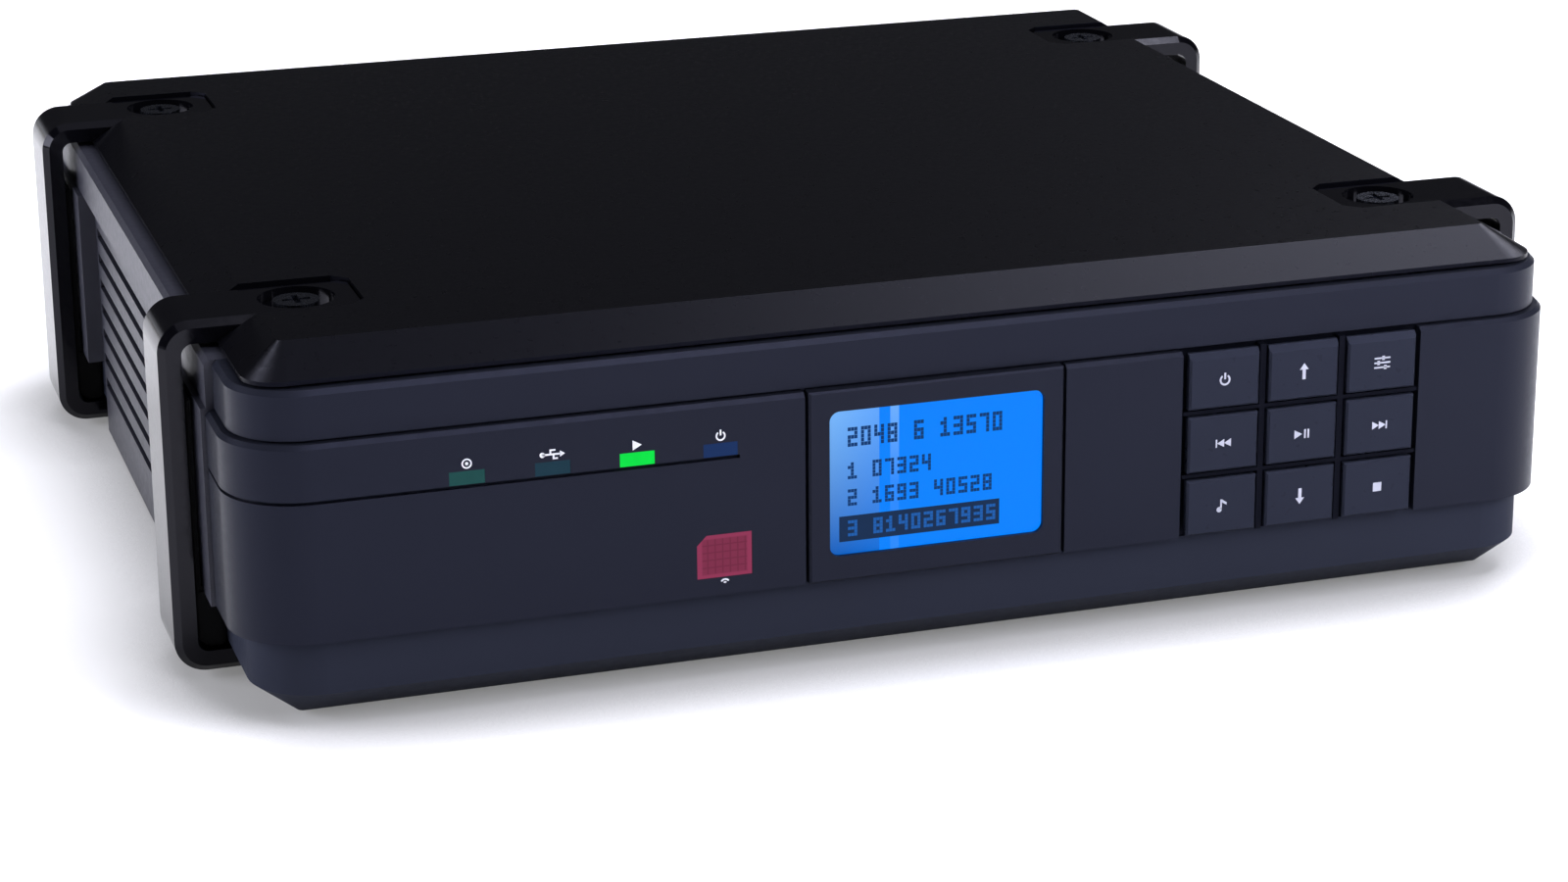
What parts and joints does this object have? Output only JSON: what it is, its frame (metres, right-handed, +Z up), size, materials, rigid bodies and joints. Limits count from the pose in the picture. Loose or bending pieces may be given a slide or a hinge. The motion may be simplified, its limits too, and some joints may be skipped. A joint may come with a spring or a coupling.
{
  "type": "media player",
  "caption": "Low desktop media player: chamfered casing held by corner clamps, front display, lamps and keypad, side louvres, rear sockets and a slide-out hard drive tray.",
  "frame": {"origin": "centre of the whole object's footprint, on the surface that its feet rest on", "axes": "+X to the right seen from the front, +Y to the back, +Z up"},
  "size_m": [0.2102, 0.188, 0.0535],
  "materials": {
    "side_wall": "satin dark grey moulding with a fine grain",
    "cover": "satin black moulding",
    "base": "satin black moulding",
    "band": "satin black moulding",
    "fascia": "satin blue-black moulding",
    "ir_window": "dark red translucent plastic",
    "component": "black component plastic",
    "led": "clear lamp resin",
    "lcd_window": "blue backlit display behind a clear window",
    "lcd_frame": "blackened pressed frame",
    "keypad_frame": "black moulding",
    "circuit_board": "green solder resist",
    "screw": "bright plated steel",
    "foot_rubber": "black rubber",
    "sheet_steel": "plated sheet",
    "nylon": "natural nylon",
    "tray": "black moulding",
    "drive_casting": "cast aluminium",
    "drive_lid": "pressed aluminium",
    "tray_face": "satin black moulding",
    "pull": "glossy black moulding",
    "heatsink": "anodised extrusion",
    "ribbon": "grey ribbon insulation",
    "rear_panel": "black painted sheet",
    "socket_plastic": "black socket plastic",
    "socket_metal": "bright plated shell",
    "rocker": "glossy black plastic",
    "drive_lamp": "dark teal light guide",
    "usb_lamp": "dark teal light guide",
    "play_lamp": "lit green light guide",
    "power_lamp": "dark blue light guide",
    "key": "satin black keycap",
    "clamp": "glossy black moulding"
  },
  "bodies": {
    "casing": {"av_sockets": "socket_plastic", "bay_board": "circuit_board", "bay_connector": "component", "board_components": "component", "bottom_cover": "base", "centre_fascia": "fascia", "clamp_front_left": "clamp", "clamp_front_right": "clamp", "clamp_rear_left": "clamp", "clamp_rear_right": "clamp", "clamp_screws": "screw", "control_board": "circuit_board", "display_fascia": "fascia", "drive_bay": "sheet_steel", "drive_lamp": "drive_lamp", "foot_pads": "foot_rubber", "front_bezel": "band", "heatsink": "heatsink", "indicator_leds": "led", "ir_receiver": "component", "ir_window": "ir_window", "key_switches": "component", "keypad_frame": "keypad_frame", "lcd_module": "lcd_frame", "lcd_window": "lcd_window", "left_fascia": "fascia", "main_board": "circuit_board", "main_housing": "side_wall", "panel_screws": "screw", "play_lamp": "play_lamp", "power_inlet": "socket_plastic", "power_lamp": "power_lamp", "rear_panel": "rear_panel", "ribbon_cables": "ribbon", "right_fascia": "fascia", "svideo_socket": "socket_plastic", "switch_frame": "socket_plastic", "top_cover": "cover", "tray_guides": "nylon", "usb_lamp": "usb_lamp", "usb_socket": "socket_metal"},
    "tray": {"drive_tray": "tray", "drive_screws": "screw", "hard_drive": "drive_casting", "hard_drive_lid": "drive_lid", "hard_drive_board": "circuit_board", "tray_plug": "component", "tray_face": "tray_face", "pull_pins": "screw"},
    "pull": {"tray_pull": "pull"},
    "rocker": {"power_rocker": "rocker"},
    "key_power_cap": {"key_power": "key"},
    "key_up_cap": {"key_up": "key"},
    "key_setting_cap": {"key_setting": "key"},
    "key_previous_cap": {"key_previous": "key"},
    "key_play_cap": {"key_play": "key"},
    "key_next_cap": {"key_next": "key"},
    "key_music_cap": {"key_music": "key"},
    "key_down_cap": {"key_down": "key"},
    "key_stop_cap": {"key_stop": "key"}
  },
  "joints": [
    {"name": "key_power_press", "type": "slide", "parent": "casing", "child": "key_power_cap", "axis": [0, 1, 0], "range_m": [0, 0.0006], "stiffness_N_per_m": 600, "springref_m": -0.0004},
    {"name": "key_up_press", "type": "slide", "parent": "casing", "child": "key_up_cap", "axis": [0, 1, 0], "range_m": [0, 0.0006], "stiffness_N_per_m": 600, "springref_m": -0.0004},
    {"name": "key_setting_press", "type": "slide", "parent": "casing", "child": "key_setting_cap", "axis": [0, 1, 0], "range_m": [0, 0.0006], "stiffness_N_per_m": 600, "springref_m": -0.0004},
    {"name": "key_previous_press", "type": "slide", "parent": "casing", "child": "key_previous_cap", "axis": [0, 1, 0], "range_m": [0, 0.0006], "stiffness_N_per_m": 600, "springref_m": -0.0004},
    {"name": "key_play_press", "type": "slide", "parent": "casing", "child": "key_play_cap", "axis": [0, 1, 0], "range_m": [0, 0.0006], "stiffness_N_per_m": 600, "springref_m": -0.0004},
    {"name": "key_next_press", "type": "slide", "parent": "casing", "child": "key_next_cap", "axis": [0, 1, 0], "range_m": [0, 0.0006], "stiffness_N_per_m": 600, "springref_m": -0.0004},
    {"name": "key_music_press", "type": "slide", "parent": "casing", "child": "key_music_cap", "axis": [0, 1, 0], "range_m": [0, 0.0006], "stiffness_N_per_m": 600, "springref_m": -0.0004},
    {"name": "key_down_press", "type": "slide", "parent": "casing", "child": "key_down_cap", "axis": [0, 1, 0], "range_m": [0, 0.0006], "stiffness_N_per_m": 600, "springref_m": -0.0004},
    {"name": "key_stop_press", "type": "slide", "parent": "casing", "child": "key_stop_cap", "axis": [0, 1, 0], "range_m": [0, 0.0006], "stiffness_N_per_m": 600, "springref_m": -0.0004},
    {"name": "tray_slide", "type": "slide", "parent": "casing", "child": "tray", "axis": [0, 1, 0], "range_m": [0, 0.15]},
    {"name": "pull_hinge", "type": "hinge", "parent": "tray", "child": "pull", "pos_m": [-0.0325, 0.09055, 0.0305], "axis": [1, 0, 0], "range_deg": [0, 90]},
    {"name": "rocker_hinge", "type": "hinge", "parent": "casing", "child": "rocker", "pos_m": [0.0315, 0.08285, 0.0342], "axis": [-1, 0, 0], "range_deg": [0, 16]}
  ]
}
